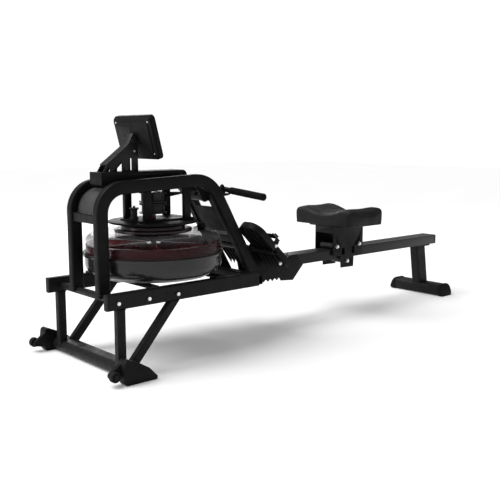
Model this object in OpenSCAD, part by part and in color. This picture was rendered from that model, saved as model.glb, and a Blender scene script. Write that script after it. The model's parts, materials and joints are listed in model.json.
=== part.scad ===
// Water rowing machine: welded steel base, two hoops over a water tank, one rail and a sliding seat.
// Millimetres. +X runs from the tank end to the rear foot, +Y to the far side, +Z up, floor at Z = 0.

/* [Overall] */
// Length over the transport wheels and the rail end plug
overall_l = 1995; // [1985:1:2005]
// Width over the front foot caps
overall_w = 565; // [560:1:570]
// Height to the top of the monitor
overall_h = 835; // [830:1:840]

/* [Base frame] */
// Distance from the centre plane to the middle of a lower rail
lower_rail_y = 193.5; // [192:0.5:195]
// Width of a lower rail tube
lower_rail_w = 25; // [24:1:26]
// Height of a lower rail tube
lower_rail_h = 53; // [52:1:54]
// Underside of the lower rails above the floor
lower_rail_z = 223; // [221:1:224]
// Front end of the lower rails
lower_rail_x0 = -956; // [-958:1:-954]
// Rear end of the lower rails
lower_rail_x1 = -328; // [-330:1:-326]
// Middle of the front stabiliser tube
front_foot_x = -888; // [-889:1:-887]
// Middle of the rear stabiliser tube
rear_foot_x = 941; // [939:1:943]
// Wall of the steel tubes
wall = 2; // [1.5:0.5:2.5]

/* [Hoops] */
// Distance from the centre plane to the middle of a hoop
hoop_y = 85; // [84:1:86]
// Depth of the hoop tube in its own plane
hoop_d = 44; // [43:1:45]
// Width of the hoop tube
hoop_w = 30; // [29:1:31]
// Middle of the upright front leg of a hoop
hoop_x = -905; // [-906:1:-904]
// Slope of the top of the hoop, in degrees
hoop_slope = 2.3; // [2:0.1:2.6]
// Lean of the rear leg of the hoop, in degrees
hoop_lean = 30; // [29:1:31]

/* [Water tank] */
// Middle of the tank along the machine
tank_x = -644; // [-646:1:-642]
// Outer radius of the tank wall
tank_r = 240; // [239:1:241]
// Underside of the tank shell
tank_z0 = 290; // [289:1:291]
// Height of the joint between the two tank shells
tank_split = 366; // [365:1:367]
// Top of the tank shell
tank_z1 = 432; // [431:1:433]
// Number of impeller blades
blade_count = 6; // [4:1:8]

/* [Rail and seat] */
// Width of the slide rail
rail_w = 80; // [79:1:81]
// Underside of the slide rail
rail_z0 = 238.5; // [238.5:0.5:240]
// Running surface of the slide rail
rail_z1 = 281; // [280:1:282]
// Middle of the seat at rest
seat_x = 335; // [333:1:337]
// Width of the seat cushion
seat_w = 326; // [320:1:328]
// Length of the seat cushion
seat_l = 222; // [216:1:226]
// Height of the raised sides of the seat
seat_z = 462; // [460:1:464]
// Radius of the upper seat rollers
roller_r = 13; // [12.8:0.1:13.2]

/* [Controls] */
// Middle of the handle at rest
handle_x = -326; // [-328:1:-324]
// Height of the handle at rest
handle_z = 566; // [565:1:567]
// Droop of the handle ends, in degrees
handle_droop = 4.5; // [4:0.1:5]
// Length of the handle over its end caps
handle_l = 466; // [460:1:470]
// Tilt of the foot plates from level, in degrees
foot_tilt = 44; // [43:1:45]
// Lean of the monitor, in degrees
monitor_lean = 14.5; // [14:0.5:15]

/* [Hidden] */
$fn = 48;
nose_x = -overall_l / 2;
tail_x = overall_l / 2;
half_w = overall_w / 2;
lower_rail_z1 = lower_rail_z + lower_rail_h;
leg_x = -910.5;
leg_d = 31;
foot_w = 70;
foot_h = 41;
foot_z = 3;
foot_mid_z = foot_z + foot_h / 2;
rear_foot_w = 84;
rear_foot_h = 50;
wheel_r = 17;
wheel_x = nose_x + wheel_r;
wheel_y = half_w - 12;
wheel_z = 34;
wheel_axle_r = 5;
crossbar_z = 244;
crossbar_r = 12.5;
rear_member_x = -349;
// Hoop path: front corner, rear corner and the foot of the rear leg
hoop_z0 = 251;
front_bend_r = 84;
rear_bend_r = 110;
front_corner = [hoop_x, 594];
rear_corner = [-459.6, 594 + (hoop_x + 459.6) * -tan(hoop_slope)];
front_turn = 90 - hoop_slope;
rear_turn = 90 - hoop_lean + hoop_slope;
front_t = front_bend_r * tan(front_turn / 2);
rear_t = rear_bend_r * tan(rear_turn / 2);
hoop_foot_z = 233.5;
hoop_foot_x = rear_corner[0] + (rear_corner[1] - hoop_foot_z) * tan(hoop_lean);
foot_tube_x = -241;
foot_tube_z = 213;
spine_z0 = 604;
spine_z1 = 646;
spine_x0 = -866;
spine_x1 = -540;
spine_w = 76;
plate_z = 472;
drum_z = 496;
drum_r = 48;
guide_x = -442;
guide_z = 545;
guide_r = 16;
shaft_r = 10;
clear = 0.05;
pedal_y = 112;
pedal_w = 116;
// Cross bar in the frame of the foot plate
foot_bar = [140, -20];
pedal_at = [-300, 0, 444];
pedal_l = 236;
bar_x = pedal_at[0] + foot_bar[0] * cos(foot_tilt) + foot_bar[1] * sin(foot_tilt);
bar_z = pedal_at[2] - foot_bar[0] * sin(foot_tilt) + foot_bar[1] * cos(foot_tilt);
strap_w = 26;
monitor_c = [-704, 0, overall_h - 76];
monitor_size = [26, 228, 150];
pivot = [-735, 0, 748];
seat_z0 = 381;
seat_dx = -7;
carriage_hx = 95;
upper_roller_x = 72;
upper_roller_z = rail_z1 + roller_r + 0.3;
lower_roller_r = 12;
lower_roller_z = rail_z0 - lower_roller_r - 0.3;
button_r = 5;
button_at = [-45, 0, 45];

// ---- shared shapes ----

// Rectangle with round corners, centred
module round_rect(w, h, r) {
    square([w - 2 * r, h], center = true);
    square([w, h - 2 * r], center = true);
    for (sx = [-1, 1], sy = [-1, 1])
        translate([sx * (w / 2 - r), sy * (h / 2 - r)])
            circle(r);
}

// Wall section of a tube
module tube_section(w, h, r, t) {
    difference() {
        round_rect(w, h, r);
        round_rect(w - 2 * t, h - 2 * t, max(r - t, 0.5));
    }
}

// Box tube along +X, its underside middle at the origin
module box_tube_x(l, w, h, r = 6, t = wall) {
    translate([0, 0, h / 2])
        rotate([90, 0, 90])
            linear_extrude(l)
                tube_section(w, h, r, t);
}

// Box tube along Y, centred on the origin
module box_tube_y(l, w, h, r = 6, t = wall) {
    rotate([90, 0, 0])
        linear_extrude(l, center = true)
            tube_section(w, h, r, t);
}

// Solid bar along Y, centred on the origin
module rod_y(r, l) {
    rotate([90, 0, 0])
        cylinder(r = r, h = l, center = true);
}

// The same thing on both sides of the machine
module both_sides() {
    for (s = [-1, 1])
        mirror([0, s > 0 ? 1 : 0, 0])
            children();
}

// Points of an arc, for profiles
function arc(cx, cy, r, a0, a1, n = 8) =
    [for (i = [0:n]) let (a = a0 + (a1 - a0) * i / n) [cx + r * cos(a), cy + r * sin(a)]];

// ---- base frame ----

// Flat-sided oval of the stabiliser tubes, seen along Y
module foot_section(grow = 0, w = foot_w, h = foot_h) {
    round_rect(w + 2 * grow, h + 2 * grow, 19 + grow);
}

module foot_tube(x, l, w = foot_w, h = foot_h) {
    translate([x, 0, foot_z + h / 2])
        rotate([90, 0, 0])
            linear_extrude(l, center = true)
                difference() {
                    foot_section(0, w, h);
                    foot_section(-wall, w, h);
                }
}

module foot_solid(x, w = foot_w, h = foot_h) {
    translate([x, 0, foot_z + h / 2])
        rotate([90, 0, 0])
            linear_extrude(600, center = true)
                foot_section(0.05, w, h);
}

module front_stabilizer() {
    color("#232323") foot_tube(front_foot_x, 2 * (half_w - 38));
}

// Cap of the front foot, with the cheek that carries a transport wheel
module front_foot_cap() {
    cap_y = half_w - 37.9;
    cap_outline = concat([[-905, 0]], arc(-838, 8, 8, -90, 30, 4), [[-862, 44]], arc(-900, 46, 18, 60, 80, 2),
        arc(-938, 70, 12, 80, 170, 5), [[-955, 30]], arc(-938, 12, 12, 190, 270, 3));
    translate([0, -cap_y, 0])
        rotate([90, 0, 0]) {
            linear_extrude(12)
                difference() {
                    union() {
                        translate([front_foot_x, foot_mid_z]) foot_section(3);
                        polygon(cap_outline);
                        translate([wheel_x, wheel_z]) circle(11);
                        polygon([[-981, 23.1], [-940, 14], [-940, 74], [-984, 44.5]]);
                    }
                    translate([wheel_x, wheel_z]) circle(wheel_axle_r + clear);
                }
            linear_extrude(37.9)
                difference() {
                    polygon(cap_outline);
                    translate([wheel_x, wheel_z]) circle(wheel_r + 2);
                }
        }
}

module front_foot_caps() {
    color("#1b1b1b") both_sides() front_foot_cap();
}

module wheel_axles() {
    color("#b9bcc0")
        both_sides()
            translate([wheel_x, -half_w, wheel_z])
                rotate([-90, 0, 0]) {
                    cylinder(r = wheel_axle_r, h = 37);
                    cylinder(r = 8, h = 1.4);
                }
}

module transport_wheel() {
    rotate([90, 0, 0])
        rotate_extrude($fn = 64)
            polygon(concat([[wheel_axle_r + clear, -10], [8.5, -10], [8.5, -8], [12, -8], [12, -10]],
                arc(wheel_r - 4, -6, 4, -90, 0, 4), arc(wheel_r - 4, 6, 4, 0, 90, 4),
                [[12, 10], [12, 8], [8.5, 8], [8.5, 10], [wheel_axle_r + clear, 10]]));
}

module transport_wheel_left() {
    color("#161616") translate([wheel_x, -wheel_y, wheel_z]) transport_wheel();
}

module transport_wheel_right() {
    color("#161616") translate([wheel_x, wheel_y, wheel_z]) transport_wheel();
}

module front_legs() {
    color("#252525")
        both_sides()
            difference() {
                translate([leg_x, -lower_rail_y - 1, 30])
                    linear_extrude(lower_rail_z - 30 - 0.05)
                        tube_section(leg_d, lower_rail_w, 5, wall);
                foot_solid(front_foot_x);
            }
}

module diagonal_struts() {
    foot = [-876, 26];
    head = [-703, lower_rail_z];
    run = head[0] - foot[0];
    rise = head[1] - foot[1];
    color("#252525")
        both_sides()
            difference() {
                translate([foot[0], -lower_rail_y - 1, foot[1]])
                    rotate([0, atan2(run, rise), 0])
                        translate([0, 0, -12])
                            linear_extrude(norm(head - foot) + 60)
                                tube_section(leg_d, lower_rail_w, 5, wall);
                foot_solid(front_foot_x);
                translate([-900, -300, lower_rail_z - 0.05]) cube([400, 600, 100]);
                translate([leg_x - leg_d / 2 - 1, -300, 0]) cube([leg_d + 1.1, 600, 300]);
            }
}

module lower_rail() {
    translate([lower_rail_x0, -lower_rail_y, lower_rail_z])
        box_tube_x(lower_rail_x1 - lower_rail_x0, lower_rail_w, lower_rail_h, 6);
}

module lower_rail_left() {
    color("#282828") lower_rail();
}

module lower_rail_right() {
    color("#282828") mirror([0, 1, 0]) lower_rail();
}

// Push-in caps at both ends of the lower rails and at the rear of the slide rail
module tube_end_caps() {
    rail_end_plug();
    spine_caps();
    color("#171717")
        both_sides()
            for (end = [0, 1])
                translate([end ? lower_rail_x1 : lower_rail_x0, -lower_rail_y, lower_rail_z + lower_rail_h / 2])
                    mirror([end ? 0 : 1, 0, 0])
                        rotate([90, 0, 90]) {
                            translate([0, 0, 0.05]) linear_extrude(3) round_rect(lower_rail_w, lower_rail_h, 6);
                            translate([0, 0, -12])
                                linear_extrude(12)
                                    tube_section(lower_rail_w - 2 * wall - 0.2, lower_rail_h - 2 * wall - 0.2, 4, 2);
                        }
}

// Flat cap at the front of the top beam and a rounded one at its rear
module spine_caps() {
    h = spine_z1 - spine_z0;
    color("#1d1d1d") {
        translate([spine_x0 - 3.05, 0, spine_z0 + h / 2])
            rotate([90, 0, 90]) {
                linear_extrude(3) round_rect(spine_w, h, 5);
                translate([0, 0, 3])
                    linear_extrude(12)
                        tube_section(spine_w - 2 * wall - 0.2, h - 2 * wall - 0.2, 4, 2);
            }
        translate([spine_x1 + 0.05, 0, spine_z0]) {
            rotate([90, 0, 0])
                linear_extrude(spine_w - 4, center = true)
                    polygon(concat([[0, 0], [20, 0]], arc(0, h - 20, 20, 0, 90, 8)));
            translate([-12, 0, h / 2])
                rotate([90, 0, 90])
                    linear_extrude(12.1)
                        tube_section(spine_w - 2 * wall - 0.2, h - 2 * wall - 0.2, 4, 2);
        }
    }
}

// Hex bolts with washers through the outer faces of the base
module frame_bolt(k = 1) {
    rotate([90, 0, 0]) {
        cylinder(r = 9 * k, h = 1.6 * k);
        translate([0, 0, 1.6 * k]) cylinder(r = 6.5 * k, h = 5 * k, $fn = 6);
    }
}

module frame_bolts() {
    color("#d9dbdd")
        both_sides() {
            for (x = [-922, -807, -692])
                translate([x, -lower_rail_y - lower_rail_w / 2 - 0.05, 245]) frame_bolt();
            for (p = [[-66, 257], [-20, 257]])
                translate([p[0], -rail_w / 2 - 5.1, p[1]]) frame_bolt();
            translate([-731, -20.05, 713]) frame_bolt(0.64);
        }
}

module front_crossbar() {
    color("#202020")
        translate([hoop_x, 0, crossbar_z])
            difference() {
                rod_y(crossbar_r, 2 * (lower_rail_y - lower_rail_w / 2) - 0.1);
                rod_y(crossbar_r - wall, 2 * lower_rail_y);
            }
}

module rear_cross_member() {
    inner = lower_rail_y - lower_rail_w / 2 - 0.05;
    color("#242424")
        translate([rear_member_x, 0, lower_rail_z + 26])
            difference() {
                box_tube_y(2 * inner, 40, 44, 5);
                translate([-20, -40, -30]) cube([70, 80, 20]);
            }
}

// ---- hoops ----

// Outline of the hoop at a distance outside its centre line; extra lengthens both legs
function hoop_line(off, extra = 0) =
    let (
        top = [cos(hoop_slope), sin(hoop_slope)],
        up = [-top[1], top[0]],
        down = [sin(hoop_lean), -cos(hoop_lean)],
        out = [cos(hoop_lean), sin(hoop_lean)],
        c1 = [hoop_x + front_bend_r, front_corner[1] - front_t],
        c2 = rear_corner - rear_t * top - rear_bend_r * up,
        foot = [hoop_foot_x, hoop_foot_z] + (30 + extra) * down + off * out
    )
    concat([[hoop_x - off, crossbar_z - 20 - extra]],
        arc(c1[0], c1[1], front_bend_r + off, 180, 90 + hoop_slope, 12),
        arc(c2[0], c2[1], rear_bend_r + off, 90 + hoop_slope, hoop_lean, 10),
        [foot]);

function reversed(list) = [for (i = [len(list) - 1:-1:0]) list[i]];

module hoop_band(half, width, extra = 0) {
    rotate([90, 0, 0])
        linear_extrude(width, center = true)
            polygon(concat(hoop_line(half, extra), reversed(hoop_line(-half, extra))));
}

module hoop() {
    difference() {
        hoop_band(hoop_d / 2, hoop_w);
        hoop_band(hoop_d / 2 - wall, hoop_w - 2 * wall, 10);
        translate([hoop_x, 0, crossbar_z]) rod_y(crossbar_r + 0.05, 200);
        translate([hoop_x - 60, -50, crossbar_z - 60]) cube([120, 100, 58]);
        translate([hoop_foot_x - 90, -50, hoop_foot_z - 80]) cube([180, 100, 80]);
    }
}

module hoop_left() {
    color("#2b2b2b") translate([0, -hoop_y, 0]) hoop();
}

module hoop_right() {
    color("#2b2b2b") translate([0, hoop_y, 0]) hoop();
}

// Cross tubes between the hoops, behind the front panel and low on the rear legs
module hoop_cross_tubes() {
    inner = hoop_y - hoop_w / 2 - 0.05;
    color("#202020") {
        translate([hoop_x, 0, 496]) box_tube_y(2 * inner, 26, 30, 4);
        translate([-341, 0, 390])
            rotate([0, -hoop_lean, 0])
                box_tube_y(2 * inner, 26, 30, 4);
    }
}

// Bent sheet in the front bend of the hoops and a flat one between their rear legs
module cover_panels() {
    inner = hoop_y - hoop_w / 2 - 0.3;
    c = [hoop_x + front_bend_r, front_corner[1] - front_t];
    color("#4a4a4c")
        rotate([90, 0, 0])
            linear_extrude(2 * inner, center = true)
                polygon(concat(arc(c[0], c[1], 79, 104, 180, 14), [[hoop_x - 4, 513], [hoop_x - 1.5, 513]],
                    arc(c[0], c[1], 76.5, 180, 104, 14)));
    color("#38383a")
        translate([-392, 0, 494])
            rotate([0, -hoop_lean, 0])
                difference() {
                    translate([-16, -inner, -82]) cube([2.5, 2 * inner, 150]);
                    // Open round the guide roller and the strap
                    translate([-20, -48, 24]) cube([10, 96, 60]);
                }
}

// Box beam between the tops of the hoops; the mechanism hangs from it
module spine_beam() {
    inner = hoop_y - hoop_w / 2 - 0.05;
    color("#262626") {
        translate([spine_x0, 0, spine_z0])
            difference() {
                box_tube_x(spine_x1 - spine_x0, spine_w, spine_z1 - spine_z0, 5);
                for (x = [180, 250])
                    translate([x, 0, 21]) rod_y(6, 90);
            }
        for (x = [-790, -548], s = [-1, 1])
            translate([x - 12, s > 0 ? spine_w / 2 + 0.05 : -inner, spine_z0 + 4])
                cube([24, inner - spine_w / 2 - 0.1, 8]);
    }
}

// Welded tubes that join the hoops to the slide rail
module foot_frame() {
    tube_h = 38;
    color("#222222")
        difference() {
            union() {
                translate([rear_member_x - 19.5, 0, foot_tube_z - tube_h / 2]) box_tube_x(390, 60, tube_h, 5);
                translate([foot_tube_x, 0, foot_tube_z + 1]) cross_tube();
            }
            translate([foot_tube_x, 0, foot_tube_z - 1]) cube([40, 70, tube_h - 6], center = true);
        }
    // Bar under the foot plates, with its lugs
    color("#222222")
        both_sides()
            difference() {
                translate([bar_x, -168, bar_z]) rotate([-90, 0, 0]) cylinder(r = 11, h = 167.9);
                translate([bar_x, -200, bar_z]) rotate([-90, 0, 0]) cylinder(r = 8, h = 220);
            }
}

module cross_tube() {
    for (s = [-1, 1])
        translate([0, s * 67, 3])
            box_tube_y(74, 52, 32, 5);
}

// Side plates and saddle that carry the front end of the slide rail
module rail_bracket() {
    tooth = 24;
    plate = concat([[bar_x - 20, bar_z + 4], [bar_x - 12, bar_z + 20], [bar_x + 12, bar_z + 20], [-120, 262],
        [-60, 284], [30, 284], [66, 238], [8, 180], [-60, 186]],
        [for (i = [0:4]) each [[-70 - i * tooth, 202], [-70 - (i + 0.5) * tooth, 190]]], [[-204, 206]]);
    color("#2c2c2c")
        difference() {
            both_sides()
                translate([0, -rail_w / 2 - 0.1, 0])
                    rotate([90, 0, 0])
                        linear_extrude(4)
                            polygon(plate);
            translate([bar_x, 0, bar_z]) rod_y(11.05, 120);
        }
    color("#2c2c2c")
        translate([-60, 0, 0])
            for (x = [10, 58])
                translate([x, -rail_w / 2 - 0.05, rail_z0 - 6.1]) cube([24, rail_w + 0.1, 6]);
}

// ---- slide rail and rear foot ----

module rail_section() {
    difference() {
        round_rect(rail_w, rail_z1 - rail_z0, 3);
        for (s = [-1, 1])
            translate([s * 20, 0]) round_rect(36, rail_z1 - rail_z0 - 6, 2);
    }
}

module slide_rail() {
    color("#2f2f31")
        translate([-62, 0, (rail_z0 + rail_z1) / 2])
            rotate([90, 0, 90])
                linear_extrude(tail_x - 4.1 + 62)
                    rail_section();
}

module rail_end_plug() {
    color("#181818")
        translate([tail_x - 4, 0, (rail_z0 + rail_z1) / 2])
            rotate([90, 0, 90]) {
                linear_extrude(4) round_rect(rail_w + 1, rail_z1 - rail_z0 + 1, 4);
                for (s = [-1, 1])
                    translate([s * 20, 0, -16]) linear_extrude(16) round_rect(35.5, rail_z1 - rail_z0 - 6.5, 2);
            }
}

// Rubber bump stops at the front end of the seat travel
module rail_stops() {
    color("#111111")
        for (s = [-1, 1])
            translate([-28, s * 22, rail_z1 + 0.05]) {
                cylinder(r = 8, h = 4);
                translate([0, 0, 4]) cylinder(r = 5, h = 2);
            }
}

module rear_post() {
    color("#242424")
        difference() {
            translate([906, 0, rail_z0 - 6])
                rotate([0, 180 - 9, 0])
                    translate([0, 0, -20])
                        linear_extrude(230)
                            tube_section(64, 46, 6, 2.5);
            translate([800, -60, rail_z0 - 6]) cube([240, 120, 60]);
            foot_solid(rear_foot_x, rear_foot_w, rear_foot_h);
        }
    // Saddle plate under the rail
    color("#242424")
        translate([856, -38, rail_z0 - 5.95]) cube([98, 76, 5.9]);
}

module rear_stabilizer() {
    color("#232323") foot_tube(rear_foot_x, 252, rear_foot_w, rear_foot_h);
}

module rear_foot_caps() {
    color("#191919")
        both_sides()
            translate([rear_foot_x, -126.1, foot_z + rear_foot_h / 2])
                rotate([90, 0, 0])
                    difference() {
                        linear_extrude(30) foot_section(3, rear_foot_w, rear_foot_h);
                        // The end slopes out towards the floor
                        translate([-60, -rear_foot_h / 2 - 3, 30])
                            rotate([-21, 0, 0])
                                translate([0, -20, 0]) cube([120, 120, 40]);
                    }
}

// ---- water tank ----

// Outline of the upper shell, from the joint up to the neck
module upper_profile() {
    polygon(concat([[tank_r - 4, tank_split + 0.05], [tank_r, tank_split + 0.05]],
        arc(tank_r - 34, tank_z1 - 34, 34, 0, 78, 8), [[70, tank_z1 + 2], [70, tank_z1 - 2]],
        arc(tank_r - 34, tank_z1 - 34, 30, 78, 0, 8)));
    polygon([[tank_r - 4, tank_split + 0.05], [tank_r + 7, tank_split + 0.05], [tank_r + 7, tank_split + 7],
        [tank_r - 4, tank_split + 7]]);
}

module tank_upper_shell() {
    color([0.75, 0.78, 0.8, 0.45])
        translate([tank_x, 0, 0])
            difference() {
                rotate_extrude($fn = 96) upper_profile();
                translate([160, -70, 380]) cylinder(r = 14, h = 80);
            }
}

module tank_lower_shell() {
    r = 38;
    color([0.22, 0.22, 0.24, 0.8])
        translate([tank_x, 0, 0])
            rotate_extrude($fn = 96) {
                polygon(concat([[0, tank_z0]], arc(tank_r - r, tank_z0 + r, r, -90, 0, 8),
                    [[tank_r, tank_split - 10], [tank_r + 7, tank_split - 10], [tank_r + 7, tank_split - 3.05],
                    [tank_r - 4, tank_split - 3.05]],
                    arc(tank_r - r, tank_z0 + r, r - 4, 0, -90, 8),
                    [[18, tank_z0 + 4], [18, tank_z0 + 12], [shaft_r + 3.1, tank_z0 + 12],
                    [shaft_r + 3.1, tank_z0 + 4], [0, tank_z0 + 4]]));
            }
}

// Rubber ring between the shells
module tank_seal() {
    color("#8c1f22")
        translate([tank_x, 0, tank_split - 3])
            difference() {
                cylinder(r = tank_r + 5.5, h = 3, $fn = 96);
                translate([0, 0, -1]) cylinder(r = tank_r - 3, h = 6, $fn = 96);
            }
}

// Pale ring the tank stands in
module tank_base_ring() {
    color("#9a9c9e")
        translate([tank_x, 0, tank_z0 - 8.05])
            difference() {
                cylinder(r = 196, h = 8, $fn = 96);
                translate([0, 0, -1]) cylinder(r = 176, h = 12, $fn = 96);
            }
}

// Cross straps from rail to rail under the tank
module tank_supports() {
    color("#1d1d1d")
        for (x = [-784, -504])
            translate([x - 20, -lower_rail_y - 10, lower_rail_z1 + 0.05]) cube([40, 2 * lower_rail_y + 20, 5.8]);
}

module tank_plug() {
    color("#1a1a1a")
        translate([tank_x + 160, -70, tank_z1 - 6]) {
            translate([0, 0, 0.5]) cylinder(r = 13.5, h = 14);
            translate([0, 0, 14.5]) cylinder(r = 18, h = 5);
            translate([-14, -3, 19.5]) cube([28, 6, 9]);
        }
}

// Water: a layer under the impeller and a ring round it
module water() {
    r = 36;
    color([0.3, 0.5, 0.6, 0.5])
        translate([tank_x, 0, 0])
            rotate_extrude($fn = 72)
                polygon(concat([[22, tank_z0 + 4.3]], arc(tank_r - 2.3 - r, tank_z0 + 4.3 + r, r - 2, -90, 0, 6),
                    [[tank_r - 4.3, tank_split + 30], [201, tank_split + 30], [201, tank_split - 14],
                    [22, tank_split - 14]]));
}

// Paddle wheel and its upright shaft
module impeller() {
    color("#7a1a1d")
        translate([tank_x, 0, 0]) {
            translate([0, 0, tank_z0 + 68])
                difference() {
                    cylinder(r = 32, h = 34);
                    translate([0, 0, -1]) cylinder(r = shaft_r - 1, h = 40);
                }
            for (i = [0:blade_count - 1])
                rotate([0, 0, i * 360 / blade_count])
                    translate([30, -2, tank_z0 + 66]) cube([160, 4, 40]);
            translate([0, 0, tank_z0 + 68])
                difference() {
                    cylinder(r = 190, h = 3, $fn = 72);
                    translate([0, 0, -1]) cylinder(r = 182, h = 5, $fn = 72);
                }
            translate([0, 0, tank_z0 + 4.4]) cylinder(r = shaft_r, h = 566 - tank_z0);
        }
}

// Bearings at the foot of the shaft, in the hub cover and in the mounting plate
module shaft_bearings() {
    color("#c4c6c8")
        translate([tank_x, 0, 0])
            for (z = [tank_z0 + 4.1, 438, plate_z - 2])
                translate([0, 0, z])
                    difference() {
                        cylinder(r = shaft_r + 3, h = 7.8);
                        translate([0, 0, -1]) cylinder(r = shaft_r + clear, h = 12);
                    }
}

// Two stacked discs that close the neck of the tank
module hub_cover() {
    color("#3a2324")
        translate([tank_x, 0, 0])
            difference() {
                union() {
                    translate([0, 0, tank_z1 + 2.1]) cylinder(r = 136, h = 10, $fn = 96);
                    translate([0, 0, tank_z1 + 12.1]) cylinder(r = 112, h = 12, $fn = 96);
                    translate([0, 0, tank_z1 - 12]) cylinder(r = 69.5, h = 14.2, $fn = 96);
                }
                translate([0, 0, 400]) cylinder(r = shaft_r + 3.05, h = 100);
                translate([0, 0, tank_z1 - 20]) cylinder(r = 60, h = 22);
            }
}

// ---- drive ----

module mounting_plate() {
    color("#1f1f1f")
        translate([tank_x, 0, plate_z])
            difference() {
                union() {
                    translate([0, 0, -7]) cylinder(r = 156, h = 7, $fn = 96);
                    translate([-94, -66, 0]) cube([226, 132, 6]);
                }
                translate([0, 0, -8]) cylinder(r = shaft_r + 3.05, h = 16);
                for (x = [-84, 120], y = [-30, 30])
                    translate([x, y, -8]) cylinder(r = 4, h = 16);
            }
}

module hanging_posts() {
    color("#2d2d2d")
        for (x = [-710, -543], s = [-1, 1])
            translate([x - 14, s * 61.5 - 7.5, plate_z + 6.05]) cube([28, 15, spine_z0 - plate_z - 6.1]);
    color("#2d2d2d")
        for (x = [-710, -543])
            translate([x - 14, -69, spine_z0 - 8.05]) cube([28, 138, 8]);
}

// Spool for the handle strap over the spool for the return cord
module strap_drum() {
    color("#333335")
        translate([tank_x, 0, drum_z])
            rotate_extrude($fn = 72)
                polygon([[shaft_r + clear, 0], [drum_r, 0], [drum_r, 4], [drum_r - 9, 4], [drum_r - 9, 30],
                    [drum_r, 30], [drum_r, 35], [drum_r - 14, 35], [drum_r - 14, 39], [drum_r, 39],
                    [drum_r, 43], [drum_r - 9, 43], [drum_r - 9, 70], [drum_r, 70], [drum_r, 74],
                    [shaft_r + clear, 74]]);
}

module bungee_pulley() {
    color("#3a3a3c")
        translate([-722, 0, plate_z + 8])
            rotate_extrude($fn = 48)
                polygon([[4.05, 0], [16, 0], [16, 5], [11, 9], [11, 31], [16, 35], [16, 40], [4.05, 40]]);
}

// Plates and axles that hold the guide roller and the cord pulley
module guide_bracket() {
    color("#2a2a2a") {
        for (s = [-1, 1])
            difference() {
                translate([0, s > 0 ? 42 : -46, 0])
                    rotate([90, 0, 0])
                        mirror([0, 0, 1])
                            linear_extrude(4)
                                polygon([[-556, 591], [-556, 595.9], [-446, 595.9], [-406, 556], [-406, 530],
                                    [-456, 530], [-470, 560], [-500, 591]]);
                translate([guide_x, 0, guide_z]) rod_y(5.02, 120);
            }
        translate([guide_x, 0, guide_z]) rod_y(5, 96);
        translate([-722, 0, plate_z + 6.05]) cylinder(r = 4, h = 48);
    }
}

module guide_roller() {
    color("#454547")
        translate([guide_x, 0, guide_z])
            rotate([90, 0, 0])
                rotate_extrude($fn = 64)
                    polygon([[5.05, -40], [guide_r + 3, -40], [guide_r + 3, -36], [guide_r, -34], [guide_r, 34],
                        [guide_r + 3, 36], [guide_r + 3, 40], [5.05, 40]]);
}

// Strap from the drum over the roller to the handle
module handle_strap() {
    color("#141414") {
        translate([tank_x + 20, drum_r - 8.5, drum_z + 45]) cube([150, 1.5, 22]);
        translate([guide_x + 6, -11, guide_z + guide_r + 0.4]) cube([handle_x - guide_x - 26, 22, 1.5]);
    }
}

// Cross bar with two open hooks that hold the handle at rest
module handle_cradle() {
    color("#303032") {
        translate([-419, -41.9, 535]) cube([9, 83.8, 14]);
        for (s = [-1, 1])
            translate([0, s * 28 - 5, 0])
                rotate([90, 0, 0])
                    mirror([0, 0, 1])
                        linear_extrude(10)
                            difference() {
                                polygon([[-412, 536], [-352, 541], [-322, 544], [-316, 547], [-316, 551.5],
                                    [-340, 552], [-345, 580], [-352, 586], [-358, 580], [-362, 560], [-412, 548]]);
                                translate([handle_x, handle_z - 2]) circle(13.5);
                                translate([handle_x - 2, handle_z - 2]) square([40, 40]);
                            }
    }
}

module handle_bar() {
    color("#4a4a4c")
        translate([handle_x, 0, handle_z]) {
            for (s = [-1, 1])
                rotate([-s * handle_droop, 0, 0])
                    rotate([-90 * s, 0, 0]) cylinder(r = 10, h = handle_l / 2 - 3);
            sphere(r = 10);
            // Shackle for the strap
            difference() {
                translate([-19, -16, -6]) cube([18, 32, 12]);
                translate([-15, 0, 0]) rod_y(2.5, 40);
            }
        }
}

module handle_grips() {
    grip_l = 184;
    color("#1c1c1c")
        both_sides()
            translate([handle_x, 0, handle_z])
                rotate([handle_droop, 0, 0])
                    translate([0, -handle_l / 2, 0])
                        rotate([-90, 0, 0])
                            rotate_extrude($fn = 48)
                                polygon(concat([[0, 0]], arc(9.3, 4, 4, -90, 0, 4), [[13.3, grip_l - 3],
                                    [12, grip_l], [10.1, grip_l], [10.1, 2.9], [0, 2.9]]));
}

// ---- seat ----

// Saddle-shaped cushion, lower along the middle
module seat_pad() {
    half = seat_w / 2;
    side = [for (i = [-10:10]) let (y = i * (half - 12) / 10)
        [y, seat_z - 26 * pow(cos(90 * y / (half - 12)), 2) - 10 * pow(abs(i) / 10, 8)]];
    color("#333335")
        translate([seat_x + seat_dx, 0, 0])
            intersection() {
                rotate([90, 0, 90])
                    linear_extrude(seat_l, center = true)
                        polygon(concat([[half - 6, seat_z0 + 4], [half, seat_z0 + 14], [half, seat_z - 18]],
                            [for (i = [20:-1:0]) side[i]],
                            [[-half, seat_z - 18], [-half, seat_z0 + 14], [-half + 6, seat_z0 + 4]]));
                translate([0, 0, seat_z0 + 4]) linear_extrude(90) round_rect(seat_l, seat_w, 16);
            }
}

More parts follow.
